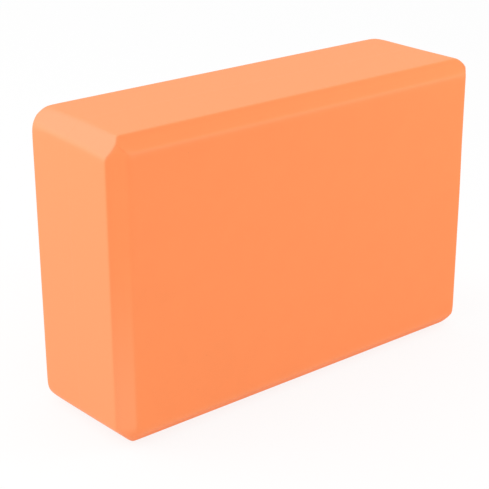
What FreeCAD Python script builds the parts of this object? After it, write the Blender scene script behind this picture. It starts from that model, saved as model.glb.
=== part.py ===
import FreeCAD, Part
import math
import os

import Sketcher

# Foam yoga block: two closed-cell foam sheets bonded face to face, cut to an outline with straight slanting
# corners, and then bevelled with a hollow cutter round the front face and round the rear face.
# +X runs along the length, +Y through the thickness and +Z up. The origin lies on the ground under the
# middle of the block, which stands on one of its long narrow sides. Lengths are in millimetres.

# Driving dimensions: alias, length and what it measures.
SIZES = (
    ("block_length", 228.6, "from end face to end face"),
    ("block_height", 152.4, "from the side it stands on to the side above"),
    ("block_thickness", 76.2, "from the front face to the rear face"),
    ("bond_thickness", 0.2, "set adhesive between the two sheets"),
    ("corner_setback", 8.0, "from the outline's sharp corner to where its slanting cut starts"),
    ("bevel_setback", 7.1, "from a face's sharp corner line to where its bevel starts"),
    ("corner_bevel_setback", 5.5, "the same where the bevel crosses a slanting corner of the outline"),
    ("bevel_hollow", 0.6, "depth of the bevel's hollow below the straight line across it"),
    ("cut_overrun", 4.0, "how far a bevel cut reaches past the faces it trims"),
)

# Sizes worked out from the driving dimensions.
SHEET_THICKNESS = "(Sizes.block_thickness - Sizes.bond_thickness) / 2"
CORNER_REACH = "(Sizes.block_length / 2 + Sizes.block_height / 2 - Sizes.corner_setback) * sqrt(0.5)"

# How far a slanting step at 45 degrees reaches along each axis.
DIAGONAL_SHARE = math.sqrt(0.5)
HALF_TURN = 180
EIGHTH_TURN = HALF_TURN / 4

# Indices by which a sketch knows the ends of its edges and its fixed references.
START_INDEX = 1
END_INDEX = 2
HORIZONTAL_AXIS_INDEX = -1
VERTICAL_AXIS_INDEX = -2
ORIGIN_INDICES = (HORIZONTAL_AXIS_INDEX, START_INDEX)


def make_size_sheet(doc):
    """Writes the driving dimensions into a spreadsheet, one row each."""
    sheet = doc.addObject("Spreadsheet::Sheet", "Sizes")
    for row, (alias, length, note) in enumerate(SIZES, start=1):
        sheet.set(f"A{row}", note)
        sheet.set(f"B{row}", str(length))
        sheet.setAlias(f"B{row}", alias)
    doc.recompute()
    return sheet


def origin_plane(body, role):
    """Returns the body's own origin plane with this role."""
    return next(plane for plane in body.Origin.OriginFeatures if plane.Role == role)


def new_sketch(body, name, role, turn=0):
    """Adds an empty sketch on one of the body's origin planes, turned about the plane's second axis."""
    sketch = body.newObject("Sketcher::SketchObject", name)
    sketch.AttachmentSupport = [(origin_plane(body, role), "")]
    sketch.MapMode = "FlatFace"
    sketch.AttachmentOffset = FreeCAD.Placement(
        FreeCAD.Vector(), FreeCAD.Rotation(FreeCAD.Vector(0, 1, 0), turn)
    )
    return sketch


def add_line(sketch, start, end):
    """Adds a straight edge between two points."""
    return sketch.addGeometry(Part.LineSegment(FreeCAD.Vector(*start), FreeCAD.Vector(*end)))


def add_hollow_arc(sketch, corner, inward, setback, hollow):
    """Adds a bevel's hollow arc across a sharp corner; inward holds the signs that lead into the foam."""
    radius = setback**2 / (4 * hollow) + hollow / 2
    outward_shift = (radius - hollow) * DIAGONAL_SHARE - setback / 2
    centre = FreeCAD.Vector(corner[0] - inward[0] * outward_shift, corner[1] - inward[1] * outward_shift)
    middle = math.atan2(inward[1], inward[0])
    reach = math.asin(setback * DIAGONAL_SHARE / radius)
    circle = Part.Circle(centre, FreeCAD.Vector(0, 0, 1), radius)
    return sketch.addGeometry(Part.ArcOfCircle(circle, middle - reach, middle + reach))


def edge_ends(edge):
    """Returns an edge's start and end in the form in which a sketch names points."""
    return (edge, START_INDEX), (edge, END_INDEX)


def close_ring(sketch, ring):
    """Joins each edge of the ring to the next one at the ends that lie nearest to each other."""
    for edge, following in zip(ring, ring[1:] + ring[:1]):
        gaps = {
            (near, far): sketch.getPoint(*near).distanceToPoint(sketch.getPoint(*far))
            for near in edge_ends(edge)
            for far in edge_ends(following)
        }
        near, far = min(gaps, key=gaps.get)
        sketch.addConstraint(Sketcher.Constraint("Coincident", *near, *far))


def make_symmetric(sketch, first, second, axis):
    """Keeps two points symmetric about one of the sketch's axes."""
    sketch.addConstraint(Sketcher.Constraint("Symmetric", *first, *second, axis))


def set_span(sketch, kind, first, second, name, expression):
    """Binds the distance between two points along one axis; kind is DistanceX or DistanceY."""
    axis = "x" if kind == "DistanceX" else "y"
    low, high = sorted((first, second), key=lambda point: getattr(sketch.getPoint(*point), axis))
    length = getattr(sketch.getPoint(*high), axis) - getattr(sketch.getPoint(*low), axis)
    sketch.addConstraint(Sketcher.Constraint(kind, *low, *high, length))
    bind_last_constraint(sketch, name, expression)


def set_radius(sketch, arc, name, expression):
    """Binds an arc's radius."""
    sketch.addConstraint(Sketcher.Constraint("Radius", arc, sketch.Geometry[arc].Radius))
    bind_last_constraint(sketch, name, expression)


def bind_last_constraint(sketch, name, expression):
    """Names the newest constraint and binds it to an expression of the sheet's sizes."""
    sketch.renameConstraint(sketch.ConstraintCount - 1, name)
    sketch.setExpression(f"Constraints.{name}", expression)


def outline_sketch(body, sizes):
    """Draws the block's front outline, centred on the origin: a rectangle with slanting corners."""
    sketch = new_sketch(body, "Outline", "XZ_Plane")
    half_length = sizes.block_length / 2
    half_height = sizes.block_height / 2
    flat_length = half_length - sizes.corner_setback
    flat_height = half_height - sizes.corner_setback
    corners = [
        (-flat_length, -half_height),
        (flat_length, -half_height),
        (half_length, -flat_height),
        (half_length, flat_height),
        (flat_length, half_height),
        (-flat_length, half_height),
        (-half_length, flat_height),
        (-half_length, -flat_height),
    ]
    ring = [add_line(sketch, start, end) for start, end in zip(corners, corners[1:] + corners[:1])]
    close_ring(sketch, ring)
    bottom, right, top, left = ring[::2]
    bottom_start, bottom_end = edge_ends(bottom)
    right_start, right_end = edge_ends(right)
    top_start, top_end = edge_ends(top)
    left_start, left_end = edge_ends(left)
    make_symmetric(sketch, bottom_start, bottom_end, VERTICAL_AXIS_INDEX)
    make_symmetric(sketch, top_start, top_end, VERTICAL_AXIS_INDEX)
    make_symmetric(sketch, right_start, right_end, HORIZONTAL_AXIS_INDEX)
    make_symmetric(sketch, left_start, left_end, HORIZONTAL_AXIS_INDEX)
    make_symmetric(sketch, bottom_start, top_end, HORIZONTAL_AXIS_INDEX)
    make_symmetric(sketch, left_end, right_start, VERTICAL_AXIS_INDEX)
    set_span(sketch, "DistanceX", left_start, right_start, "length", "Sizes.block_length")
    set_span(sketch, "DistanceY", bottom_start, top_start, "height", "Sizes.block_height")
    set_span(sketch, "DistanceX", bottom_end, right_start, "setback_along", "Sizes.corner_setback")
    set_span(sketch, "DistanceY", bottom_end, right_start, "setback_up", "Sizes.corner_setback")
    return sketch


def bevel_sketch(body, sizes, name, role, corner, inward, reaches, setback_alias="bevel_setback", turn=0):
    """Draws the section of one bevel cut at a sharp corner.

    corner holds the corner's two coordinates, inward the signs that lead from it into the foam, and
    reaches the expressions for the corner's distance from the origin along both axes. setback_alias names
    the size that the bevel is set back by, and turn is the sketch's turn on its plane.
    """
    sketch = new_sketch(body, name, role, turn)
    setback = getattr(sizes, setback_alias)
    setback_size = f"Sizes.{setback_alias}"
    overrun = sizes.cut_overrun
    inside = [corner[axis] + inward[axis] * setback for axis in (0, 1)]
    outside = [corner[axis] - inward[axis] * overrun for axis in (0, 1)]
    arc = add_hollow_arc(sketch, corner, inward, setback, sizes.bevel_hollow)
    low_side = add_line(sketch, (corner[0], inside[1]), (outside[0], inside[1]))
    outer_side = add_line(sketch, (outside[0], inside[1]), (outside[0], outside[1]))
    high_side = add_line(sketch, (outside[0], outside[1]), (inside[0], outside[1]))
    inner_side = add_line(sketch, (inside[0], outside[1]), (inside[0], corner[1]))
    close_ring(sketch, [arc, low_side, outer_side, high_side, inner_side])
    for line in (low_side, high_side):
        sketch.addConstraint(Sketcher.Constraint("Horizontal", line))
    for line in (outer_side, inner_side):
        sketch.addConstraint(Sketcher.Constraint("Vertical", line))
    low_inner, low_outer = edge_ends(low_side)
    high_outer, high_inner = edge_ends(inner_side)
    set_span(sketch, "DistanceX", ORIGIN_INDICES, low_inner, "reach_across", reaches[0])
    set_span(sketch, "DistanceY", ORIGIN_INDICES, high_inner, "reach_up", reaches[1])
    set_span(sketch, "DistanceX", high_inner, low_inner, "setback_across", setback_size)
    set_span(sketch, "DistanceY", high_inner, low_inner, "setback_up", setback_size)
    set_span(sketch, "DistanceX", low_inner, low_outer, "overrun_across", "Sizes.cut_overrun")
    set_span(sketch, "DistanceY", high_inner, high_outer, "overrun_up", "Sizes.cut_overrun")
    radius = f"{setback_size} ^ 2 / (4 * Sizes.bevel_hollow) + Sizes.bevel_hollow / 2"
    set_radius(sketch, arc, "bevel_radius", radius)
    return sketch


def cut_bevel_pair(doc, body, sketch, cut_length, mirror_role):
    """Cuts a bevel right along one edge, and the same bevel along the opposite edge of the outer face."""
    volume_before = body.Shape.Volume
    cut = body.newObject("PartDesign::Pocket", f"{sketch.Name}Cut")
    cut.Profile = sketch
    cut.SideType = "Symmetric"
    cut.setExpression("Length", cut_length)
    doc.recompute()
    mirrored = body.newObject("PartDesign::Mirrored", f"{sketch.Name}Mirrored")
    mirrored.Originals = [cut]
    mirrored.MirrorPlane = (origin_plane(body, mirror_role), [""])
    body.Tip = mirrored
    doc.recompute()
    one_cut = volume_before - cut.Shape.Volume
    both_cuts = volume_before - body.Shape.Volume
    if one_cut <= 0 or both_cuts <= one_cut:
        raise RuntimeError(f"{body.Label}: {sketch.Name} took nothing away on one of its edges")


def foam_sheet(doc, sizes, label, side):
    """Makes one foam sheet, its bonded face towards the middle and its outer face bevelled.

    The bevel cuts run right through along each edge, and a narrower bevel goes across each slanting corner
    between them. side is -1 for the front sheet and 1 for the rear one, which is the same sheet turned round.
    """
    body = doc.addObject("PartDesign::Body", label)
    body.Label = label
    outline = outline_sketch(body, sizes)
    slab = body.newObject("PartDesign::Pad", "Slab")
    slab.Profile = outline
    slab.setExpression("Length", SHEET_THICKNESS)
    doc.recompute()
    outer_face = -slab.Length.Value
    long_edge = bevel_sketch(
        body,
        sizes,
        "LongEdgeBevel",
        "YZ_Plane",
        (outer_face, sizes.block_height / 2),
        (1, -1),
        (SHEET_THICKNESS, "Sizes.block_height / 2"),
    )
    cut_bevel_pair(doc, body, long_edge, "Sizes.block_length + 2 * Sizes.cut_overrun", "XY_Plane")
    short_edge = bevel_sketch(
        body,
        sizes,
        "ShortEdgeBevel",
        "XY_Plane",
        (sizes.block_length / 2, outer_face),
        (-1, 1),
        ("Sizes.block_length / 2", SHEET_THICKNESS),
    )
    cut_bevel_pair(doc, body, short_edge, "Sizes.block_height + 2 * Sizes.cut_overrun", "YZ_Plane")
    corner_reach = (sizes.block_length / 2 + sizes.block_height / 2 - sizes.corner_setback) * DIAGONAL_SHARE
    for name, turn in (("UpperCornerBevel", -EIGHTH_TURN), ("LowerCornerBevel", EIGHTH_TURN)):
        corner_edge = bevel_sketch(
            body,
            sizes,
            name,
            "XY_Plane",
            (corner_reach, outer_face),
            (-1, 1),
            (CORNER_REACH, SHEET_THICKNESS),
            "corner_bevel_setback",
            turn,
        )
        cut_bevel_pair(doc, body, corner_edge, "Sizes.block_length + Sizes.block_height", "YZ_Plane")
    turn = HALF_TURN if side > 0 else 0
    body.Placement = FreeCAD.Placement(FreeCAD.Vector(), FreeCAD.Rotation(FreeCAD.Vector(0, 0, 1), turn))
    body.setExpression("Placement.Base.y", f"{side} * Sizes.bond_thickness / 2")
    body.setExpression("Placement.Base.z", "Sizes.block_height / 2")
    return body


def adhesive_film(doc, sizes, label):
    """Makes the film of set adhesive between the sheets, trimmed to the block's outline."""
    body = doc.addObject("PartDesign::Body", label)
    body.Label = label
    film = body.newObject("PartDesign::Pad", "Film")
    film.Profile = outline_sketch(body, sizes)
    film.SideType = "Symmetric"
    film.setExpression("Length", "Sizes.bond_thickness")
    body.setExpression("Placement.Base.z", "Sizes.block_height / 2")
    return body


def check_document(doc, bodies):
    """Stops if any object failed to build, a sketch is left loose or a piece isn't one valid solid."""
    for item in doc.Objects:
        if "Invalid" in item.State or "Error" in item.State:
            raise RuntimeError(f"{item.Label} failed: {item.State}")
        if item.TypeId == "Sketcher::SketchObject" and not item.FullyConstrained:
            raise RuntimeError(f"{item.Label} is not fully constrained")
    for body in bodies:
        if body.Shape.isNull() or not body.Shape.isValid() or len(body.Shape.Solids) != 1:
            raise RuntimeError(f"{body.Label} is not one valid solid")


def write_parts(bodies):
    """Writes each piece to its own file."""
    os.makedirs("parts", exist_ok=True)
    for body in bodies:
        body.Shape.exportStep(f"parts/{body.Label}.step")
        print(body.Label, round(body.Shape.Volume), "mm3", body.Shape.BoundBox)


def main():
    """Builds the three pieces, checks them and writes them out."""
    doc = FreeCAD.newDocument("YogaBlock")
    sizes = make_size_sheet(doc)
    bodies = [
        foam_sheet(doc, sizes, "front_foam_sheet", side=-1),
        foam_sheet(doc, sizes, "rear_foam_sheet", side=1),
        adhesive_film(doc, sizes, "bond_film"),
    ]
    doc.recompute()
    check_document(doc, bodies)
    write_parts(bodies)


main()
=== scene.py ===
"""A foam yoga block: two slabs of orange closed-cell foam with bevelled edges, bonded face to face.

One Geometry Nodes tree shapes both slabs and the bond between them, each finish is procedural, and
the stage is a pale floor under soft light. Sizes are in metres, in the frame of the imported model.
"""

import logging
import math
from dataclasses import asdict, dataclass
from enum import Enum
from typing import Any

import bpy
from mathutils import Matrix, Quaternion, Vector


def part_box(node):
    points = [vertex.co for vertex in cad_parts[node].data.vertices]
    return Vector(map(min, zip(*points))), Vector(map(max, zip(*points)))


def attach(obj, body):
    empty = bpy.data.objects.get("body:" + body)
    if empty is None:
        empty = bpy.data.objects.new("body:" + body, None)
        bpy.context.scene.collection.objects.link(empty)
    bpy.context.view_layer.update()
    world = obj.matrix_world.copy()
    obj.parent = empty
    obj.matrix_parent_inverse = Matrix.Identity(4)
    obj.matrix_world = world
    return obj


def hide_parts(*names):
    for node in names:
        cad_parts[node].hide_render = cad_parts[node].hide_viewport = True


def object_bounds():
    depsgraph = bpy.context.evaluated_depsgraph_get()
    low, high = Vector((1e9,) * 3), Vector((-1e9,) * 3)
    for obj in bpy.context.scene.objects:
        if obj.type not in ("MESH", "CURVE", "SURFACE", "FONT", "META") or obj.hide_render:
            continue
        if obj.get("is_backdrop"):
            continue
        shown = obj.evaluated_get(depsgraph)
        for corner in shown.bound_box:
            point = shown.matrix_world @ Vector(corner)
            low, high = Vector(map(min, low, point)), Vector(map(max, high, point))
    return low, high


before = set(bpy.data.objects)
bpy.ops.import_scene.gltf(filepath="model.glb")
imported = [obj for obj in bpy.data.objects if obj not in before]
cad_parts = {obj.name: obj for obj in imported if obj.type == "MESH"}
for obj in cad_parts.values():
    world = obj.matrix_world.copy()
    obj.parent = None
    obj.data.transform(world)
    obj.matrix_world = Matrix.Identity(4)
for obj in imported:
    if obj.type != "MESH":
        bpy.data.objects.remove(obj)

Socket = bpy.types.NodeSocket
Colour = tuple[float, float, float]

LOG = logging.getLogger("yoga_block")
MILLIMETRE = 0.001
BODY = "root"
WHITE = (1.0, 1.0, 1.0, 1.0)


def new_object(name: str, data: bpy.types.ID) -> bpy.types.Object:
    """Makes an object and links it into the scene.

    Args:
        name: The object's name.
        data: Its mesh, light or camera.

    Returns:
        The object.
    """
    thing = bpy.data.objects.new(name, data)
    bpy.context.scene.collection.objects.link(thing)
    return thing


class SheetSide(Enum):
    """Which half of the block a slab is; the value is its turn about the upright axis."""

    FRONT = 0.0
    REAR = math.pi


class EdgeCut(Enum):
    """Which edges of a slab are bevelled; the value is how far off the cuts at its outer face are kept."""

    ALL_ROUND = 0.0
    RIM_ONLY = 1.0


class SkinMark(Enum):
    """What the tree notes on a slab's skin for the finish; the value is the attribute's name."""

    # ridge: where the paler painted highlight line along the ridges goes
    RIDGE = "ridge"
    # cut: the cuts by axis, for the cutter lines; its middle part also places the slanting corners'
    # painted highlight
    CUT = "cut"
    # side: where the paler painted highlight of the lit sides goes
    SIDE = "side"


class Wiring:
    """Adds nodes to one node tree and joins their sockets."""

    def __init__(self, tree: bpy.types.NodeTree) -> None:
        """Keeps the tree that the nodes go into."""
        self.tree = tree

    def feed(self, socket: Socket, value: Any) -> None:
        """Links a socket to an input, or sets the input to a plain value.

        Args:
            socket: The input that takes the value.
            value: An output socket, or a number, vector or colour.
        """
        if isinstance(value, Socket):
            self.tree.links.new(value, socket)
        else:
            socket.default_value = value

    def fill(self, node: bpy.types.Node, inputs: dict[str, Any]) -> None:
        """Feeds several inputs of a node, by socket name."""
        for name, value in inputs.items():
            self.feed(node.inputs[name], value)

    def add(self, kind: str, inputs: dict[str, Any] | None = None, **settings: Any) -> bpy.types.Node:
        """Adds a node.

        Args:
            kind: The node's type name.
            inputs: What goes into its sockets, by socket name.
            **settings: Properties of the node itself.

        Returns:
            The new node.
        """
        node = self.tree.nodes.new(kind)
        for name, value in settings.items():
            setattr(node, name, value)
        self.fill(node, inputs or {})
        return node

    def math(self, operation: str, *values: Any) -> Socket:
        """Adds a Math node.

        Args:
            operation: The node's operation.
            *values: Its operands.

        Returns:
            The result's socket.
        """
        node = self.add("ShaderNodeMath", operation=operation)
        for socket, value in zip(node.inputs, values):
            self.feed(socket, value)
        return node.outputs[0]

    def vector(self, operation: str, *values: Any) -> Socket:
        """Adds a Vector Math node.

        Args:
            operation: The node's operation.
            *values: Its operands; a lone number is used on all three axes.

        Returns:
            The result's socket.
        """
        node = self.add("ShaderNodeVectorMath", operation=operation)
        for socket, value in zip(node.inputs, values):
            self.feed(socket, (value,) * 3 if isinstance(value, float) else value)
        return node.outputs["Value" if operation == "DOT_PRODUCT" else "Vector"]

    def split(self, vector: Socket) -> list[Socket]:
        """Returns the three parts of a vector."""
        return list(self.add("ShaderNodeSeparateXYZ", {"Vector": vector}).outputs)

    def join(self, x: Any, y: Any, z: Any) -> Socket:
        """Returns a vector made of three numbers."""
        return self.add("ShaderNodeCombineXYZ", {"X": x, "Y": y, "Z": z}).outputs["Vector"]

    def total(self, values: list[Socket]) -> Socket:
        """Adds up several numbers.

        Args:
            values: The numbers' sockets.

        Returns:
            The sum's socket.
        """
        result = values[0]
        for value in values[1:]:
            result = self.math("ADD", result, value)
        return result

    def weighted(self, terms: list[tuple[Socket, float]]) -> Socket:
        """Returns the sum of several numbers, each times its weight."""
        return self.total([self.math("MULTIPLY", value, weight) for value, weight in terms])


@dataclass(frozen=True)
class FoldedPoint:
    """A point of a slab, folded into one corner of it, as sockets of the sheet tree.

    Args:
        place: Where the point lies.
        along: How far it lies along the slab, from -1 at the left end to 1 at the right end.
        up: How far it lies up the slab, from -1 at the foot to 1 at the top.
        mirror: The signs that fold it, and unfold it again.
        folded: Where it lies when folded.
        end: Its height over the nearer end.
        face: Its height over the outer face.
        side: Its height over the nearer long side.
        depth: How far it lies behind the outer face.
    """

    place: Socket
    along: Socket
    up: Socket
    mirror: Socket
    folded: Socket
    end: Socket
    face: Socket
    side: Socket
    depth: Socket


@dataclass(frozen=True)
class SlantingCorner:
    """A point's height over the slanting corner by it, and the corner's slopes to the end and the side."""

    height: Socket
    to_end: Socket
    to_side: Socket


@dataclass(frozen=True)
class Bevel:
    """A point's height over a bevel, and how much more the bevel slopes to the rim than to the face."""

    height: Socket
    lean: Socket | float = 0.0


@dataclass(frozen=True)
class Shares:
    """How much each part of a slab's surface counts at a point, as sockets of the sheet tree.

    Args:
        in_rim: The end, the long side and the slanting corner, within the rim.
        rim: The whole rim.
        bevels: The bevels that meet the end, the long side and the slanting corner.
        face: The outer face.
    """

    in_rim: list[Socket]
    rim: Socket
    bevels: list[Socket]
    face: Socket


class SheetTree(Wiring):
    """The Geometry Nodes tree that shapes a slab.

    A box with a fine border along every edge is settled, step by step, onto a smooth surface. The
    slab's rim comes first, with its slanting corners. The outer face and the bevels round it then cut
    the rim, with ridges of their own softness. The bonded face looks along +Y and stays square,
    because the next slab carries on from it. Left and right are as seen looking at the outer face.
    """

    SETTLE_STEPS = 14
    SHARP_ANGLE = math.radians(60)
    BOND_TOLERANCE = 0.01 * MILLIMETRE
    DIAGONAL = math.sqrt(0.5)
    EIGHTH_TURN = math.pi / 4
    HOLLOW_POWER = 3.0
    HIGH_SHARE = 0.5
    # Heights over which the painted highlight of the lower upright bevels fades out
    PALE_RANGE = (-0.8, 0.35)
    RIDGE_PEAK = 0.25
    UNIT_BOX = (2.0, 2.0, 2.0)
    INPUTS = {
        "NodeSocketVector": ("Half Size", "Border", "Border Share"),
        "NodeSocketInt": ("Vertices X", "Vertices Y", "Vertices Z", "Seed"),
        "NodeSocketFloat": (
            "Corner Setback", "Bevel Setback", "Corner Bevel Setback", "Bevel Hollow",
            "Left Upper Change", "Left Lower Change", "Right Upper Change", "Right Lower Change",
            "Corner Skew", "Bond Rim Softness", "Outer Rim Softness", "Left Rim Softness",
            "Right Rim Softness", "Rim Reach", "Bevel Softness", "Face Softness", "Upright Softness",
            "Foot Softness", "Soft Reach", "Face Clearance", "Groove", "Dent Depth", "Dent Size",
        ),
        "NodeSocketMaterial": ("Material",),
    }

    def __init__(self) -> None:
        """Builds the tree, from its inputs to the finished slab."""
        super().__init__(bpy.data.node_groups.new("bevelled_foam_sheet", "GeometryNodeTree"))
        interface = self.tree.interface
        self.identifiers = {
            name: interface.new_socket(name, in_out="INPUT", socket_type=kind).identifier
            for kind, names in self.INPUTS.items()
            for name in names
        }
        interface.new_socket("Sheet", in_out="OUTPUT", socket_type="NodeSocketGeometry")
        self.given = self.add("NodeGroupInput").outputs
        self.half_thickness = self.split(self.given["Half Size"])[1]
        sheet = self.finished(self.uneven(self.grooved(self.settled(self.graded_box()))))
        self.add("NodeGroupOutput", {"Sheet": sheet})

    def position(self) -> Socket:
        """Returns the position of the point at hand."""
        return self.add("GeometryNodeInputPosition").outputs["Position"]

    def from_bond(self, place: Socket) -> Socket:
        """Returns how far a place lies from the bonded face."""
        return self.math("SUBTRACT", self.half_thickness, self.split(place)[1])

    def moved(self, sheet: Socket, **inputs: Any) -> Socket:
        """Returns a sheet whose points are moved as the inputs of a Set Position node say."""
        node = self.add("GeometryNodeSetPosition", {"Geometry": sheet, **inputs})
        return node.outputs["Geometry"]

    def ramp(self, value: Any, low: Any, high: Any, first: Any, second: Any) -> Socket:
        """Returns a smooth change from a first result to a second, while a value goes from low to high."""
        inputs = {"Value": value, "From Min": low, "From Max": high, "To Min": first, "To Max": second}
        return self.add("ShaderNodeMapRange", inputs, interpolation_type="SMOOTHSTEP").outputs["Result"]

    def either(self, switch: Socket, if_not: Socket, if_so: Socket) -> Socket:
        """Returns one of two numbers, as a switch says."""
        inputs = {"Switch": switch, "False": if_not, "True": if_so}
        return self.add("GeometryNodeSwitch", inputs, input_type="FLOAT").outputs["Output"]

    def graded_box(self) -> Socket:
        """Makes a box whose grid is fine in a border along its edges and coarse between them.

        Returns:
            The box's geometry, centred on the origin.
        """
        given = self.given
        counts = {name: given[name] for name in ("Vertices X", "Vertices Y", "Vertices Z")}
        cube = self.add("GeometryNodeMeshCube", {"Size": self.UNIT_BOX, **counts})
        place = self.position()
        share_out = self.vector("ABSOLUTE", place)
        share_in = self.vector("SUBTRACT", 1.0, share_out)
        border_slope = self.vector("DIVIDE", given["Border"], given["Border Share"])
        inset = self.vector("MULTIPLY", share_in, border_slope)
        fine = self.vector("SUBTRACT", given["Half Size"], inset)
        middle = self.vector("SUBTRACT", given["Half Size"], given["Border"])
        middle_share = self.vector("SUBTRACT", 1.0, given["Border Share"])
        coarse = self.vector("MULTIPLY", share_out, self.vector("DIVIDE", middle, middle_share))
        reach = self.vector("MINIMUM", fine, coarse)
        graded = self.vector("MULTIPLY", self.vector("SIGN", place), reach)
        return self.moved(cube.outputs["Mesh"], Position=graded)

    def settled(self, box: Socket) -> Socket:
        """Settles the box onto the smooth surface, and notes what each part of it is.

        Args:
            box: The graded box.

        Returns:
            The slab's geometry, with its skin marks.
        """
        start, end = self.add("GeometryNodeRepeatInput"), self.add("GeometryNodeRepeatOutput")
        start.pair_with_output(end)
        self.fill(start, {"Iterations": self.SETTLE_STEPS, "Geometry": box})
        point = self.folded_point()
        corner = self.slanting_corner(point)
        bevels = self.bevels(point, corner)
        height, shares = self.surface(point, corner, bevels)
        slope = self.slope(corner, bevels, shares)
        steepness = self.vector("DOT_PRODUCT", slope, slope)
        drop = self.math("DIVIDE", self.math("MAXIMUM", height, 0.0), steepness)
        lowered = self.vector("SUBTRACT", point.folded, self.vector("MULTIPLY", slope, drop))
        sheet = self.marked(start.outputs["Geometry"], point, shares)
        sheet = self.moved(sheet, Position=self.vector("MULTIPLY", lowered, point.mirror))
        self.fill(end, {"Geometry": sheet})
        return end.outputs["Geometry"]

    def folded_point(self) -> FoldedPoint:
        """Folds the point at hand into one corner of the slab.

        Returns:
            The point and its heights over the faces there.
        """
        half_size = self.given["Half Size"]
        place = self.position()
        along, _, up = self.split(self.vector("DIVIDE", place, half_size))
        sign_x, _, sign_z = self.split(self.vector("SIGN", place))
        mirror = self.join(sign_x, -1.0, sign_z)
        folded = self.vector("MULTIPLY", place, mirror)
        end, face, side = self.split(self.vector("SUBTRACT", folded, half_size))
        depth = self.math("MULTIPLY", face, -1.0)
        return FoldedPoint(place, along, up, mirror, folded, end, face, side, depth)

    def slanting_corner(self, point: FoldedPoint) -> SlantingCorner:
        """Works out the slanting corner, whose cut tapers from the bond to the outer face.

        All corners face halfway between the end and the long side, but the upper left one is turned
        towards the end at the outer face.

        Args:
            point: The point at hand.

        Returns:
            The corner by the point.
        """
        given = self.given
        right, upper = (self.math("GREATER_THAN", share, 0.0) for share in (point.along, point.up))
        changes = [
            self.either(right, given[f"Left {level} Change"], given[f"Right {level} Change"])
            for level in ("Lower", "Upper")
        ]
        change = self.either(upper, *changes)
        thickness = self.math("MULTIPLY", self.half_thickness, 2.0)
        out = self.math("SUBTRACT", 1.0, self.math("DIVIDE", point.depth, thickness))
        setback = self.math("MULTIPLY_ADD", change, out, given["Corner Setback"])

        upper_left = self.math("MULTIPLY", upper, self.math("SUBTRACT", 1.0, right))
        fading = self.ramp(point.depth, 0.0, thickness, given["Corner Skew"], 0.0)
        angle = self.math("SUBTRACT", self.EIGHTH_TURN, self.math("MULTIPLY", upper_left, fading))
        to_end, to_side = self.math("COSINE", angle), self.math("SINE", angle)
        half_setback = self.math("MULTIPLY", setback, 0.5)
        over_end = self.math("MULTIPLY", to_end, self.math("ADD", point.end, half_setback))
        over_side = self.math("MULTIPLY", to_side, self.math("ADD", point.side, half_setback))
        return SlantingCorner(self.math("ADD", over_end, over_side), to_end, to_side)

    def bevels(self, point: FoldedPoint, corner: SlantingCorner) -> list[Bevel]:
        """Returns the bevels that meet the end, the long side and the slanting corner by a point."""
        flat = self.slanted(corner.height, point.face, self.given["Corner Bevel Setback"])
        return [self.hollowed(point.end, point.face), self.hollowed(point.side, point.face), Bevel(flat)]

    def slanted(self, first: Socket, second: Socket, setback: Socket) -> Socket:
        """Returns the height over a plane that slants across an edge, set back alike into both faces."""
        return self.math("MULTIPLY", self.total([first, second, setback]), self.DIAGONAL)

    def hollowed(self, rim: Socket, face: Socket) -> Bevel:
        """Works out a hollow bevel, which is nearly flat in its middle and flares at its ends.

        Args:
            rim: The height over the rim's face at the edge.
            face: The height over the outer face.

        Returns:
            The bevel.
        """
        hollow, setback = self.given["Bevel Hollow"], self.given["Bevel Setback"]
        across = self.math("DIVIDE", self.math("SUBTRACT", rim, face), setback)
        out = self.math("MINIMUM", self.math("ABSOLUTE", across), 1.0)
        flare = self.math("POWER", out, self.HOLLOW_POWER)
        sunk = self.math("MULTIPLY", hollow, self.math("SUBTRACT", 1.0, flare))
        height = self.math("ADD", self.slanted(rim, face, setback), sunk)
        rate = self.math("DIVIDE", self.math("MULTIPLY", hollow, -self.HOLLOW_POWER), setback)
        steepness = self.math("POWER", out, self.HOLLOW_POWER - 1.0)
        inside = self.math("MULTIPLY", self.math("SIGN", across), self.math("LESS_THAN", out, 1.0))
        return Bevel(height, self.math("MULTIPLY", rate, self.math("MULTIPLY", steepness, inside)))

    def surface(
        self, point: FoldedPoint, corner: SlantingCorner, bevels: list[Bevel]
    ) -> tuple[Socket, Shares]:
        """Joins the rim, the bevels and the outer face into the slab's surface.

        Args:
            point: The point at hand.
            corner: The slanting corner by it.
            bevels: The bevels by it.

        Returns:
            How high the point lies over the surface, and how much each part counts there.
        """
        rim_height, in_rim = self.blended([point.end, point.side, corner.height], self.rim_softness(point))
        clearance = self.given["Face Clearance"]
        bevel_heights = [self.math("SUBTRACT", bevel.height, clearance) for bevel in bevels]
        bevel_softness = self.foot_softened(point, self.given["Bevel Softness"])
        cut_height, in_body = self.blended([rim_height, *bevel_heights], bevel_softness)
        face_height = self.math("SUBTRACT", point.face, clearance)
        height, (body, face) = self.blended([cut_height, face_height], self.face_softness(point))
        rim, *on_bevels = [self.math("MULTIPLY", body, part) for part in in_body]
        return height, Shares(in_rim, rim, on_bevels, face)

    def blended(self, heights: list[Socket], softness: Socket) -> tuple[Socket, list[Socket]]:
        """Joins several surfaces into one, with rounded ridges where they cross.

        Args:
            heights: How high the point lies over each surface.
            softness: How wide the ridges are rounded.

        Returns:
            How high the point lies over the joined surface, and how much each surface counts there.
        """
        highest = heights[0]
        for height in heights[1:]:
            highest = self.math("MAXIMUM", highest, height)
        drops = [self.math("SUBTRACT", height, highest) for height in heights]
        parts = [self.math("EXPONENT", self.math("DIVIDE", drop, softness)) for drop in drops]
        whole = self.total(parts)
        lift = self.math("MULTIPLY", softness, self.math("LOGARITHM", whole, math.e))
        return self.math("ADD", highest, lift), [self.math("DIVIDE", part, whole) for part in parts]

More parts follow.
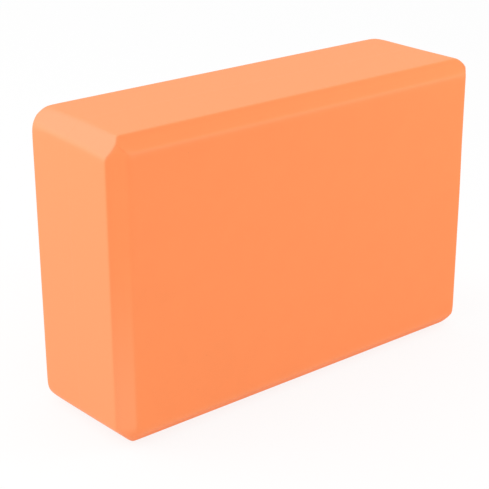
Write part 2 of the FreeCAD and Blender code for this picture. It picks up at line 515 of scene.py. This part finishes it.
    def rim_softness(self, point: FoldedPoint) -> Socket:
        """Works out how soft the rim's ridges are, which changes with depth and from end to end.

        Args:
            point: The point at hand.

        Returns:
            The softness there.
        """
        given = self.given
        outer, bonded = given["Outer Rim Softness"], given["Bond Rim Softness"]
        usual = self.ramp(point.depth, 0.0, given["Rim Reach"], outer, bonded)
        least = self.ramp(point.along, -1.0, 1.0, given["Left Rim Softness"], given["Right Rim Softness"])
        return self.math("MAXIMUM", usual, least)

    def foot_softened(self, point: FoldedPoint, usual: Socket) -> Socket:
        """Softens ridges at the foot of the block.

        Args:
            point: The point at hand.
            usual: The softness above the foot.

        Returns:
            The softness there.
        """
        given = self.given
        above_foot = self.split(self.vector("ADD", point.place, given["Half Size"]))[2]
        top = self.math("ADD", given["Bevel Setback"], given["Soft Reach"])
        return self.ramp(above_foot, given["Bevel Setback"], top, given["Foot Softness"], usual)

    def face_softness(self, point: FoldedPoint) -> Socket:
        """Works out how soft the outer face's ridges are, most of all at the foot and high at the ends.

        Args:
            point: The point at hand.

        Returns:
            The softness there.
        """
        given = self.given
        usual = given["Face Softness"]
        most = self.ramp(point.up, 0.0, self.HIGH_SHARE, usual, given["Upright Softness"])
        past_ridge = self.math("ADD", point.end, given["Bevel Setback"])
        far = self.math("MULTIPLY", given["Soft Reach"], -1.0)
        upright = self.ramp(past_ridge, far, 0.0, usual, most)
        return self.math("MAXIMUM", upright, self.foot_softened(point, usual))

    def slope(self, corner: SlantingCorner, bevels: list[Bevel], shares: Shares) -> Socket:
        """Works out which way the surface faces.

        Args:
            corner: The slanting corner by the point.
            bevels: The bevels by it.
            shares: How much each part of the surface counts there.

        Returns:
            The surface's slope, as a vector at the folded point.
        """
        to_rim, to_face = [], [shares.face]
        for in_rim, share, bevel in zip(shares.in_rim, shares.bevels, bevels):
            rimward = self.math("MULTIPLY", share, self.math("ADD", bevel.lean, self.DIAGONAL))
            to_rim.append(self.math("MULTIPLY_ADD", shares.rim, in_rim, rimward))
            to_face.append(self.math("MULTIPLY", share, self.math("SUBTRACT", self.DIAGONAL, bevel.lean)))
        to_end, to_side, to_corner = to_rim
        return self.join(
            self.math("MULTIPLY_ADD", to_corner, corner.to_end, to_end),
            self.total(to_face),
            self.math("MULTIPLY_ADD", to_corner, corner.to_side, to_side),
        )

    def marked(self, sheet: Socket, point: FoldedPoint, shares: Shares) -> Socket:
        """Notes on a sheet's points what the finish needs to know.

        The level ridges of the outer face and the ridges where the slanting corners meet the ends are
        marked for a paler painted highlight line, partly standing for edge wear; the cuts by the axis that
        each runs along, whose middle part also places the slanting corners' painted highlight; and the
        sides that get
        a paler painted highlight: the rim and the lower part of the upright bevels.

        Args:
            sheet: The sheet's geometry.
            point: The point at hand.
            shares: How much each part of the surface counts there.

        Returns:
            The geometry with its skin marks.
        """
        in_end, _, in_corner = shares.in_rim
        upright, level, _ = shares.bevels
        corner = self.math("MULTIPLY", shares.rim, in_corner)
        # Painted highlight line: the level ridges of the outer face and the ridges where the slanting
        # corners meet the ends, partly edge wear
        ridge = self.math("MULTIPLY_ADD", shares.face, level, self.math("MULTIPLY", corner, in_end))
        # Lower part of the upright bevels: tinted paler as a painted highlight for light bounced from the
        # floor
        low = self.ramp(point.up, *self.PALE_RANGE, 1.0, 0.0)
        marks = {
            SkinMark.RIDGE: ("FLOAT", self.math("DIVIDE", ridge, self.RIDGE_PEAK)),
            # The middle part, the slanting corners, also carries their painted highlight
            SkinMark.CUT: ("FLOAT_VECTOR", self.join(level, corner, upright)),
            # Rim and lower upright bevels: the painted highlight of the lit sides
            SkinMark.SIDE: ("FLOAT", self.math("MULTIPLY_ADD", upright, low, shares.rim)),
        }
        for mark, (kind, value) in marks.items():
            inputs = {"Geometry": sheet, "Name": mark.value, "Value": value}
            node = self.add("GeometryNodeStoreNamedAttribute", inputs, data_type=kind, domain="POINT")
            sheet = node.outputs["Geometry"]
        return sheet

    def grooved(self, sheet: Socket) -> Socket:
        """Draws the rim of the bonded face in a little, which leaves a hairline at the bond.

        Args:
            sheet: The settled slab.

        Returns:
            The slab with its drawn-in rim.
        """
        groove = self.given["Groove"]
        place = self.position()
        bonded = self.math("LESS_THAN", self.from_bond(place), self.BOND_TOLERANCE)
        inset = self.vector("MULTIPLY", self.vector("SIGN", place), self.join(groove, 0.0, groove))
        return self.moved(sheet, Selection=bonded, Position=self.vector("SUBTRACT", place, inset))

    def uneven(self, sheet: Socket) -> Socket:
        """Sinks shallow dents into the foam, which fade out towards the bond.

        Args:
            sheet: The slab.

        Returns:
            The slab with its dents.
        """
        given = self.given
        place = self.position()
        scale = self.math("DIVIDE", 1.0, given["Dent Size"])
        inputs = {"Vector": place, "W": given["Seed"], "Scale": scale}
        noise = self.add("ShaderNodeTexNoise", inputs, noise_dimensions="4D").outputs["Fac"]
        fade = self.math("MINIMUM", self.math("MULTIPLY", self.from_bond(place), scale), 1.0)
        sink = self.math("MULTIPLY", self.math("MULTIPLY", noise, fade), given["Dent Depth"])
        normal = self.add("GeometryNodeInputNormal").outputs["Normal"]
        dent = self.vector("MULTIPLY", normal, sink)
        return self.moved(sheet, Position=self.vector("SUBTRACT", place, dent))

    def finished(self, sheet: Socket) -> Socket:
        """Smooths the faces, keeps the bonded rim sharp, and sets the material.

        Args:
            sheet: The shaped slab.

        Returns:
            The finished geometry.
        """
        faces = {"Geometry": sheet, "Shade Smooth": True}
        smooth = self.add("GeometryNodeSetShadeSmooth", faces, domain="FACE")
        angle = self.add("GeometryNodeInputMeshEdgeAngle").outputs["Unsigned Angle"]
        sharp = self.math("GREATER_THAN", angle, self.SHARP_ANGLE)
        edges = {"Geometry": smooth.outputs[0], "Selection": sharp, "Shade Smooth": False}
        edged = self.add("GeometryNodeSetShadeSmooth", edges, domain="EDGE")
        real = self.add("GeometryNodeRealizeInstances", {"Geometry": edged.outputs[0]})
        coated = {"Geometry": real.outputs[0], "Material": self.given["Material"]}
        return self.add("GeometryNodeSetMaterial", coated).outputs["Geometry"]


class FinishWiring(Wiring):
    """Adds nodes to one material, round its Principled shader."""

    MIX_SHARE = 0
    MIX_COLOURS = (6, 7)
    MIX_RESULT = 2
    NOISE_MEAN = 0.5

    def __init__(self, name: str) -> None:
        """Makes the material.

        Args:
            name: The material's name.
        """
        self.material = bpy.data.materials.new(name)
        self.material.use_nodes = True
        super().__init__(self.material.node_tree)
        self.shader = self.tree.nodes["Principled BSDF"]

    def place(self) -> Socket:
        """Returns the place on the piece, in Object coordinates."""
        return self.add("ShaderNodeTexCoord").outputs["Object"]

    def mark(self, mark: SkinMark, output: str = "Fac") -> Socket:
        """Returns what the sheet tree noted on the skin."""
        return self.add("ShaderNodeAttribute", attribute_name=mark.value).outputs[output]

    def noise(self, place: Socket, size: float, detail: float) -> Socket:
        """Returns soft noise with features of one size, from 0 to 1."""
        inputs = {"Vector": place, "Scale": 1 / size, "Detail": detail}
        return self.add("ShaderNodeTexNoise", inputs).outputs["Fac"]

    def cells(self, place: Socket, spacing: float) -> Socket:
        """Returns the distance from the nearest of many scattered middles, in shares of their spacing."""
        inputs = {"Vector": place, "Scale": 1 / spacing}
        return self.add("ShaderNodeTexVoronoi", inputs).outputs["Distance"]

    def blend(self, share: Socket, first: Socket | Colour, second: Socket | Colour) -> Socket:
        """Mixes two colours.

        Args:
            share: How much of the second colour shows.
            first: A colour or a colour socket.
            second: A colour or a colour socket.

        Returns:
            The mixed colour's socket.
        """
        mix = self.add("ShaderNodeMix", data_type="RGBA")
        self.feed(mix.inputs[self.MIX_SHARE], share)
        for index, colour in zip(self.MIX_COLOURS, (first, second)):
            self.feed(mix.inputs[index], colour if isinstance(colour, Socket) else (*colour, 1.0))
        return mix.outputs[self.MIX_RESULT]

    def tones(self, share: Socket, colour: Colour, spread: float) -> Socket:
        """Varies a colour between a darker and a lighter tone.

        Args:
            share: How light it is, from 0 to 1.
            colour: The colour in the middle.
            spread: How far the tones lie from it, as a share of it.

        Returns:
            The varied colour's socket.
        """
        dark = tuple(part * (1 - spread) for part in colour)
        light = tuple(min(part * (1 + spread), 1.0) for part in colour)
        return self.blend(share, dark, light)

    def bump(self, height: Socket) -> Socket:
        """Returns the normal of a surface with fine heights on it, in metres."""
        return self.add("ShaderNodeBump", {"Height": height, "Distance": 1.0}).outputs["Normal"]


@dataclass(frozen=True)
class FoamFinish:
    """Skin of orange closed-cell foam: matte, finely celled, with a paler painted highlight line along
    ridges that catch light from above, partly edge wear, paler painted highlights on its sides and painted
    shade in pinholes.
    """

    colour: Colour = (0.97, 0.275, 0.0915)
    tone_spread: float = 0.035
    # Paler tint of the rim and lower upright bevels: a painted highlight for the sheen of the lit top and
    # ends and for floor bounce
    side_colour: Colour = (0.96, 0.317, 0.129)
    # Paler tint of the slanting corners: a painted highlight where they face the rear light
    corner_colour: Colour = (0.97, 0.350, 0.176)
    # Paler line along the marked ridges: a painted highlight where light from above catches them, partly
    # edge wear
    ridge_colour: Colour = (0.98, 0.40, 0.20)
    ridge_share: float = 0.22
    mottle_size: float = 11 * MILLIMETRE
    mottle_detail: float = 3.0
    mottle_weight: float = 0.7
    grain_size: float = 1.1 * MILLIMETRE
    grain_detail: float = 2.0
    grain_weight: float = 0.3
    grain_height: float = 0.02 * MILLIMETRE
    cell_size: float = 0.45 * MILLIMETRE
    cell_height: float = 0.012 * MILLIMETRE
    streak_length: float = 40 * MILLIMETRE
    streak_width: float = 0.7 * MILLIMETRE
    streak_detail: float = 2.0
    streak_weight: float = 0.5
    streak_height: float = 0.02 * MILLIMETRE
    pinhole_spacing: float = 7 * MILLIMETRE
    pinhole_radius: float = 0.16 * MILLIMETRE
    pinhole_core: float = 0.4
    pinhole_depth: float = 0.12 * MILLIMETRE
    # How dark the pinholes are painted: painted shade inside the open cells
    pinhole_shade: float = 0.55
    roughness: tuple[float, float] = (0.70, 0.84)
    sheen: float = 0.03
    specular: float = 0.2

    def material(self) -> bpy.types.Material:
        """Builds the material.

        Returns:
            The foam's material.
        """
        wire = FinishWiring("orange_foam")
        place = wire.place()
        mottle = wire.noise(place, self.mottle_size, self.mottle_detail)
        grain = wire.noise(place, self.grain_size, self.grain_detail)
        streak = self.streaks(wire, place)
        pinhole = self.pinholes(wire, place)
        tone = wire.weighted([
            (mottle, self.mottle_weight),
            (grain, self.grain_weight),
            (streak, self.streak_weight),
        ])
        relief = wire.weighted([
            (wire.cells(place, self.cell_size), -self.cell_height),
            (grain, self.grain_height),
            (streak, self.streak_height),
            (pinhole, -self.pinhole_depth),
        ])
        smoothest, roughest = self.roughness
        wire.fill(wire.shader, {
            "Base Color": self.tinted(wire, tone, pinhole),
            "Roughness": wire.math("MULTIPLY_ADD", grain, roughest - smoothest, smoothest),
            "Normal": wire.bump(relief),
            "Sheen Weight": self.sheen,
            "Specular IOR Level": self.specular,
        })
        return wire.material

    def streaks(self, wire: FinishWiring, place: Socket) -> Socket:
        """Draws the faint lines that a cutter leaves along each bevel.

        Args:
            wire: The material's wiring.
            place: The place on the piece.

        Returns:
            The lines' height, about zero, and zero away from the bevels.
        """
        lines = []
        for axis, share in enumerate(wire.split(wire.mark(SkinMark.CUT, "Vector"))):
            scale = [1 / self.streak_width] * 3
            scale[axis] = 1 / self.streak_length
            drawn_out = wire.add("ShaderNodeMapping", {"Vector": place, "Scale": scale}).outputs["Vector"]
            noise = wire.noise(drawn_out, 1.0, self.streak_detail)
            height = wire.math("SUBTRACT", noise, wire.NOISE_MEAN)
            lines.append(wire.math("MULTIPLY", height, share))
        return wire.total(lines)

    def pinholes(self, wire: FinishWiring, place: Socket) -> Socket:
        """Scatters the few tiny open cells that the skin of the foam has.

        Args:
            wire: The material's wiring.
            place: The place on the piece.

        Returns:
            One inside a pinhole and zero outside, with a soft edge.
        """
        middles = wire.cells(place, self.pinhole_spacing)
        radius = self.pinhole_radius / self.pinhole_spacing
        edge = {"From Min": self.pinhole_core * radius, "From Max": radius, "To Min": 1.0, "To Max": 0.0}
        return wire.add("ShaderNodeMapRange", {"Value": middles, **edge}).outputs["Result"]

    def tinted(self, wire: FinishWiring, tone: Socket, pinhole: Socket) -> Socket:
        """Mixes the foam's colour from its tones, the paler painted highlights of its marked parts and the
        painted shade of its pinholes.

        Args:
            wire: The material's wiring.
            tone: How light the foam is, from 0 to 1.
            pinhole: Where the pinholes are.

        Returns:
            The colour's socket.
        """
        # The slanting corners are tinted paler below as a painted highlight where they face the rear light
        corner = wire.split(wire.mark(SkinMark.CUT, "Vector"))[1]
        # Painted highlight line along the marked ridges, partly standing for edge wear
        ridge_highlight_mix = wire.math("MULTIPLY", wire.mark(SkinMark.RIDGE), self.ridge_share)
        # The pinholes are darkened as painted shade inside the open cells
        pit_shade_colour = tuple(part * self.pinhole_shade for part in self.colour)
        tints = [
            # The rim and the lower upright bevels are tinted paler as a painted highlight of the lit sides
            (wire.mark(SkinMark.SIDE), self.side_colour),
            (corner, self.corner_colour),
            (ridge_highlight_mix, self.ridge_colour),
            (pinhole, pit_shade_colour),
        ]
        colour = wire.tones(tone, self.colour, self.tone_spread)
        for share, tint in tints:
            colour = wire.blend(share, colour, tint)
        return colour


@dataclass(frozen=True)
class AdhesiveFinish:
    """Thin line of set contact adhesive, a touch darker and smoother than the foam."""

    colour: Colour = (0.90, 0.30, 0.11)
    tone_spread: float = 0.08
    bead_size: float = 1.6 * MILLIMETRE
    bead_detail: float = 2.0
    bead_height: float = 0.02 * MILLIMETRE
    roughness: float = 0.5

    def material(self) -> bpy.types.Material:
        """Builds the material.

        Returns:
            The adhesive's material.
        """
        wire = FinishWiring("set_adhesive")
        beads = wire.noise(wire.place(), self.bead_size, self.bead_detail)
        wire.fill(wire.shader, {
            "Base Color": wire.tones(beads, self.colour, self.tone_spread),
            "Roughness": self.roughness,
            "Normal": wire.bump(wire.math("MULTIPLY", beads, self.bead_height)),
        })
        return wire.material


@dataclass(frozen=True)
class CutSizes:
    """How far the cuts along a slab's edges reach into its faces.

    Args:
        corner: The slanting corners of the outline.
        bevel: The bevels along the outer face's straight edges.
        corner_bevel: The bevels between the outer face and the slanting corners.
    """

    corner: float
    bevel: float
    corner_bevel: float


@dataclass(frozen=True)
class RidgeSoftness:
    """How wide a slab's ridges are rounded.

    Args:
        bond_rim: The rim's ridges at the bond.
        outer_rim: The rim's ridges by the outer face.
        left_rim: The least softness of the rim's ridges at the left end, looking at the outer face.
        right_rim: The same at the right end.
        bevel: The ridges between the bevels and the rim.
        face: The level ridges of the outer face.
        upright: The upright ridges of the outer face.
        foot: All these at the foot of the block.
    """

    bond_rim: float = 0.45 * MILLIMETRE
    outer_rim: float = 0.25 * MILLIMETRE
    left_rim: float = 0.0
    right_rim: float = 0.65 * MILLIMETRE
    bevel: float = 0.30 * MILLIMETRE
    face: float = 0.45 * MILLIMETRE
    upright: float = 0.90 * MILLIMETRE
    foot: float = 0.75 * MILLIMETRE


@dataclass(frozen=True)
class CornerWander:
    """How much further a slab's slanting corners cut in at its outer face than at the bond.

    Args:
        left_upper: The upper left corner, looking at the outer face.
        left_lower: The lower left corner.
        right_upper: The upper right corner.
        right_lower: The lower right corner.
    """

    left_upper: float = 0.0
    left_lower: float = 0.0
    right_upper: float = 0.0
    right_lower: float = 0.0


@dataclass
class Slab:
    """One flat layer of the block, shaped by the sheet tree.

    Args:
        name: The piece's name.
        node: The CAD node that it stands for.
        slot: The name of its material slot; not used.
        cut: Which of its edges are bevelled.
        side: Which way its outer face looks.
        sizes: How far its cuts reach.
        softness: How wide its ridges are rounded.
        wander: How the cuts of its slanting corners change.
        corner_skew: How far its upper left corner is turned, at the outer face.
        hollow: How far its bevels are hollowed below flat ones.
        rim_reach: How far from the outer face the rim's softness changes.
        soft_reach: How far past the bevels the softer ridges of the foot and the ends reach.
        groove: How far its rim is drawn in at the bond.
        dent_depth: How deep its shallow dents are.
        dent_size: How far apart they lie.
        border: How wide the fine part of its grid is.
        border_step: The grid's step there.
        middle_step: The grid's step elsewhere.
        seed: Seed of its dents.
    """

    name: str
    node: str
    slot: str
    cut: EdgeCut
    side: SheetSide
    sizes: CutSizes
    softness: RidgeSoftness
    wander: CornerWander = CornerWander()
    corner_skew: float = 0.0
    hollow: float = 0.6 * MILLIMETRE
    rim_reach: float = 22 * MILLIMETRE
    soft_reach: float = 7 * MILLIMETRE
    groove: float = 0.02 * MILLIMETRE
    dent_depth: float = 0.08 * MILLIMETRE
    dent_size: float = 26 * MILLIMETRE
    border: float = 12 * MILLIMETRE
    border_step: float = 0.4 * MILLIMETRE
    middle_step: float = 2.6 * MILLIMETRE
    seed: int = 1

    @property
    def bevelled(self) -> bool:
        """Says whether the slab is bevelled foam, and not the film between."""
        return self.cut is EdgeCut.ALL_ROUND

    def grid(self, half: Vector) -> dict[str, Any]:
        """Works out the grid of the slab's box; a slab without bevels has one step through it.

        Args:
            half: Half the slab's size.

        Returns:
            The tree's inputs for the grid.
        """
        inputs, shares = {}, []
        border = (self.border, self.border if self.bevelled else 0.0, self.border)
        for axis, size, width in zip("XYZ", half, border):
            fine = round(width / self.border_step)
            coarse = max(1, round((size - width) / self.middle_step))
            inputs[f"Vertices {axis}"] = 2 * (fine + coarse) + 1 if width else 2
            shares.append(fine / (fine + coarse))
        return {**inputs, "Border": border, "Border Share": shares}

    def inputs(self, half: Vector, material: bpy.types.Material) -> dict[str, Any]:
        """Gathers what the tree needs to shape and finish the slab.

        Args:
            half: Half the slab's size.
            material: The slab's finish.

        Returns:
            The tree's inputs, by name.
        """
        families = {"setback": self.sizes, "softness": self.softness, "change": self.wander}
        named = {
            f"{name}_{family}".replace("_", " ").title(): size
            for family, sizes in families.items()
            for name, size in asdict(sizes).items()
        }
        return {
            **named,
            **self.grid(half),
            "Half Size": half,
            "Corner Skew": self.corner_skew,
            "Bevel Hollow": self.hollow,
            "Rim Reach": self.rim_reach,
            "Soft Reach": self.soft_reach,
            "Face Clearance": self.cut.value,
            "Groove": self.groove if self.bevelled else 0.0,
            "Dent Depth": self.dent_depth if self.bevelled else 0.0,
            "Dent Size": self.dent_size,
            "Seed": self.seed,
            "Material": material,
        }

    def build(self, tree: SheetTree, material: bpy.types.Material) -> bpy.types.Object:
        """Shapes and finishes the slab with the tree, and puts its mesh where the CAD node is.

        Args:
            tree: The Geometry Nodes tree.
            material: The slab's finish.

        Returns:
            The slab's object, a plain mesh at the origin.
        """
        low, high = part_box(self.node)
        half, centre = (high - low) / 2, (high + low) / 2
        if not self.bevelled:
            half -= Vector((self.groove, 0.0, self.groove))
        piece = new_object(self.name, bpy.data.meshes.new(self.name))
        modifier = piece.modifiers.new("shape", "NODES")
        modifier.node_group = tree.tree
        for name, value in self.inputs(half, material).items():
            modifier[tree.identifiers[name]] = value
        graph = bpy.context.evaluated_depsgraph_get()
        shaped = piece.evaluated_get(graph)
        mesh = bpy.data.meshes.new_from_object(shaped, preserve_all_data_layers=True, depsgraph=graph)
        piece.modifiers.clear()
        mesh.transform(Matrix.Translation(centre) @ Matrix.Rotation(self.side.value, 4, "Z"))
        mesh.name = self.name
        piece.data = mesh
        return piece

    def declare(self, piece: bpy.types.Object) -> None:
        """Ties the piece to its body and hides the CAD node that it stands for.

        Args:
            piece: The slab's object.
        """
        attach(piece, BODY)
        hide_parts(self.node)


@dataclass
class YogaBlock:
    """The whole block: two foam slabs and the bond line between them."""

    foam: FoamFinish
    adhesive: AdhesiveFinish
    foam_slot: str = "orange_foam"
    adhesive_slot: str = "set_adhesive"
    front_ridges: RidgeSoftness = RidgeSoftness()
    rear_ridges: RidgeSoftness = RidgeSoftness(
        outer_rim=1.3 * MILLIMETRE, left_rim=RidgeSoftness.right_rim, right_rim=RidgeSoftness.left_rim,
        bevel=1.1 * MILLIMETRE, face=1.1 * MILLIMETRE, upright=1.1 * MILLIMETRE, foot=1.1 * MILLIMETRE
    )
    bond_ridges: RidgeSoftness = RidgeSoftness(outer_rim=RidgeSoftness.bond_rim)
    front_wander: CornerWander = CornerWander(
        left_lower=1.8 * MILLIMETRE, right_upper=-0.6 * MILLIMETRE, right_lower=-1.8 * MILLIMETRE
    )
    rear_wander: CornerWander = CornerWander(
        left_upper=-0.6 * MILLIMETRE, left_lower=1.8 * MILLIMETRE, right_upper=-0.8 * MILLIMETRE,
        right_lower=-1.8 * MILLIMETRE
    )
    corner_skew: float = math.radians(10)
    tolerance: float = 0.01 * MILLIMETRE

    def cut_sizes(self) -> CutSizes:
        """Measures how far the cuts reach into the faces, on the front slab of the frame.

        Returns:
            The sizes of the cuts.
        """
        slack = self.tolerance
        low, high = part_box("front_foam_sheet")
        corners = [vertex.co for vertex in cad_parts["front_foam_sheet"].data.vertices]
        top_end = max(corner.x for corner in corners if corner.z > high.z - slack)
        face_top = max(corner.z for corner in corners if corner.y < low.y + slack)
        slant = top_end + high.z
        slant_front = min(corner.y for corner in corners if abs(corner.x + corner.z - slant) < slack)
        return CutSizes(high.x - top_end, high.z - face_top, slant_front - low.y)

    def build(self) -> list[bpy.types.Object]:
        """Builds, dresses and declares every piece.

        Returns:
            The pieces.
        """
        tree = SheetTree()
        foam, adhesive = self.foam.material(), self.adhesive.material()
        sizes = self.cut_sizes()
        LOG.info("cuts reach %s", sizes)
        slabs = [
            (Slab("front_foam", "front_foam_sheet", self.foam_slot, EdgeCut.ALL_ROUND, SheetSide.FRONT,
                  sizes, self.front_ridges, self.front_wander, self.corner_skew, seed=3), foam),
            (Slab("rear_foam", "rear_foam_sheet", self.foam_slot, EdgeCut.ALL_ROUND, SheetSide.REAR,
                  sizes, self.rear_ridges, self.rear_wander, seed=8), foam),
            (Slab("bond_line", "bond_film", self.adhesive_slot, EdgeCut.RIM_ONLY, SheetSide.FRONT,
                  sizes, self.bond_ridges), adhesive),
        ]
        pieces = []
        for slab, material in slabs:
            piece = slab.build(tree, material)
            slab.declare(piece)
            LOG.info("%s stands for %s: %d faces", piece.name, slab.node, len(piece.data.polygons))
            pieces.append(piece)
        return pieces


@dataclass(frozen=True)
class PhotoCamera:
    """The camera that took the photograph, worked out from the block's outline in it."""

    image_pixels: float = 489.0
    focal_pixels: float = 1372.9
    aim_pixel: tuple[float, float] = (261.90, 224.06)
    azimuth: float = math.radians(-39.82)
    elevation: float = math.radians(20.99)
    roll: float = math.radians(-0.147)
    distance: float = 705.4 * MILLIMETRE
    sensor_width: float = 36.0
    clip_start: float = 10 * MILLIMETRE

    def place(self, target: Vector) -> None:
        """Makes the camera and points it so that the target falls on its pixel.

        Args:
            target: The block's centre.
        """
        data = bpy.data.cameras.new("photo_camera")
        data.sensor_width = self.sensor_width
        data.lens = self.focal_pixels / self.image_pixels * self.sensor_width
        data.clip_start = self.clip_start
        camera = new_object("photo_camera", data)
        level = math.cos(self.elevation)
        rightward, frontward = math.sin(self.azimuth) * level, math.cos(self.azimuth) * level
        back = Vector((rightward, -frontward, math.sin(self.elevation)))
        middle = self.image_pixels / 2
        across, down = (pixel - middle for pixel in self.aim_pixel)
        sight = Vector((across, -down, -self.focal_pixels)).normalized()
        aside = Vector((0.0, 0.0, -1.0)).rotation_difference(sight)
        turn = (-back).to_track_quat("-Z", "Y") @ Quaternion((0.0, 0.0, 1.0), -self.roll)
        camera.rotation_mode = "QUATERNION"
        camera.rotation_quaternion = turn @ aside.inverted()
        camera.location = target + back * self.distance
        bpy.context.scene.camera = camera


@dataclass(frozen=True)
class SoftBox:
    """One square soft light.

    Args:
        name: The light's name.
        direction: Where it stands, seen from the block.
        distance: How far away it stands.
        size: The side of its square.
        power: Its power in watts.
    """

    name: str
    direction: tuple[float, float, float]
    distance: float
    size: float
    power: float

    def place(self, target: Vector) -> None:
        """Makes the light and points it at the block.

        Args:
            target: The block's centre.
        """
        data = bpy.data.lights.new(self.name, "AREA")
        data.size = self.size
        data.energy = self.power
        light = new_object(self.name, data)
        way = Vector(self.direction).normalized()
        light.location = target + way * self.distance
        light.rotation_mode = "QUATERNION"
        light.rotation_quaternion = (-way).to_track_quat("-Z", "Y")


@dataclass(frozen=True)
class Studio:
    """Pale floor, even white surroundings and soft lights.

    Args:
        floor_size: The side of the floor's square.
        floor_drop: How far the floor lies below the block.
        floor_tone: How pale the floor is.
        floor_roughness: How matte it is.
        floor_specular: How much it gleams.
        floor_glow: How much of it glows white for the camera.
        floor_fill: How much of it glows white for the block.
        surround: How strongly the surroundings light the block.
        lights: The soft lights.
    """

    floor_size: float = 12.0
    floor_drop: float = 0.2 * MILLIMETRE
    floor_tone: float = 0.90
    floor_roughness: float = 0.9
    floor_specular: float = 0.1
    floor_glow: float = 0.85
    floor_fill: float = 0.55
    surround: float = 0.93
    lights: tuple[SoftBox, ...] = (
        SoftBox("rear_softbox", direction=(-0.54, 0.565, 0.63), distance=1.5, size=0.9, power=5.0),
        SoftBox("left_softbox", direction=(-0.40, -0.03, 0.25), distance=0.47, size=0.25, power=0.24),
        SoftBox("right_softbox", direction=(0.25, -0.25, 0.25), distance=0.42, size=0.2, power=0.30),
    )

    def build(self, target: Vector) -> None:
        """Makes the floor, the surroundings and the lights.

        Args:
            target: The block's centre.
        """
        self.lay_floor()
        self.light_surroundings()
        for light in self.lights:
            light.place(target)
        bpy.context.scene.view_settings.view_transform = "Standard"

    @staticmethod
    def strength(wire: Wiring, seen: float, unseen: float) -> Socket:
        """Chooses a strength by whether a ray shows the stage itself or only lights the block.

        Args:
            wire: The wiring of the floor's or the world's tree.
            seen: The strength where the stage shows.
            unseen: The strength where it only lights the block.

        Returns:
            The strength's socket.
        """
        path = wire.add("ShaderNodeLightPath").outputs
        shown = wire.math("MAXIMUM", path["Is Camera Ray"], path["Is Glossy Ray"])
        shown = wire.math("MAXIMUM", shown, path["Is Transmission Ray"])
        return wire.math("MULTIPLY_ADD", shown, seen - unseen, unseen)

    def lay_floor(self) -> None:
        """Makes the floor, which glows a little for the camera so that its shadow stays pale."""
        half, level = self.floor_size / 2, -self.floor_drop
        corners = [(-half, -half, level), (half, -half, level), (half, half, level), (-half, half, level)]
        mesh = bpy.data.meshes.new("pale_floor")
        mesh.from_pydata(corners, [], [range(len(corners))])
        mesh.materials.append(self.floor_material())
        floor = new_object("pale_floor", mesh)
        floor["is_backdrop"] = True

    def floor_material(self) -> bpy.types.Material:
        """Builds the floor's material.

        Returns:
            The material.
        """
        wire = FinishWiring("pale_floor")
        wire.fill(wire.shader, {
            "Base Color": (self.floor_tone, self.floor_tone, self.floor_tone, 1.0),
            "Roughness": self.floor_roughness,
            "Specular IOR Level": self.floor_specular,
        })
        glow = wire.add("ShaderNodeEmission", {"Color": WHITE, "Strength": 1.0})
        share = self.strength(wire, self.floor_glow, self.floor_fill)
        mix = wire.add("ShaderNodeMixShader")
        for socket, value in zip(mix.inputs, (share, wire.shader.outputs[0], glow.outputs[0])):
            wire.feed(socket, value)
        wire.fill(wire.tree.nodes["Material Output"], {"Surface": mix.outputs[0]})
        return wire.material

    def light_surroundings(self) -> None:
        """Makes the world white to look at, and an even fill for the block."""
        world = bpy.data.worlds.new("white_surroundings")
        world.use_nodes = True
        bpy.context.scene.world = world
        wire = Wiring(world.node_tree)
        strength = self.strength(wire, 1.0, self.surround)
        wire.fill(world.node_tree.nodes["Background"], {"Color": WHITE, "Strength": strength})


def main() -> None:
    logging.basicConfig(level=logging.INFO, format="%(name)s: %(message)s")
    cad_low, cad_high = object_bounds()
    YogaBlock(FoamFinish(), AdhesiveFinish()).build()
    centre = (cad_low + cad_high) / 2
    Studio().build(centre)
    PhotoCamera().place(centre)


if __name__ == "__main__":
    main()
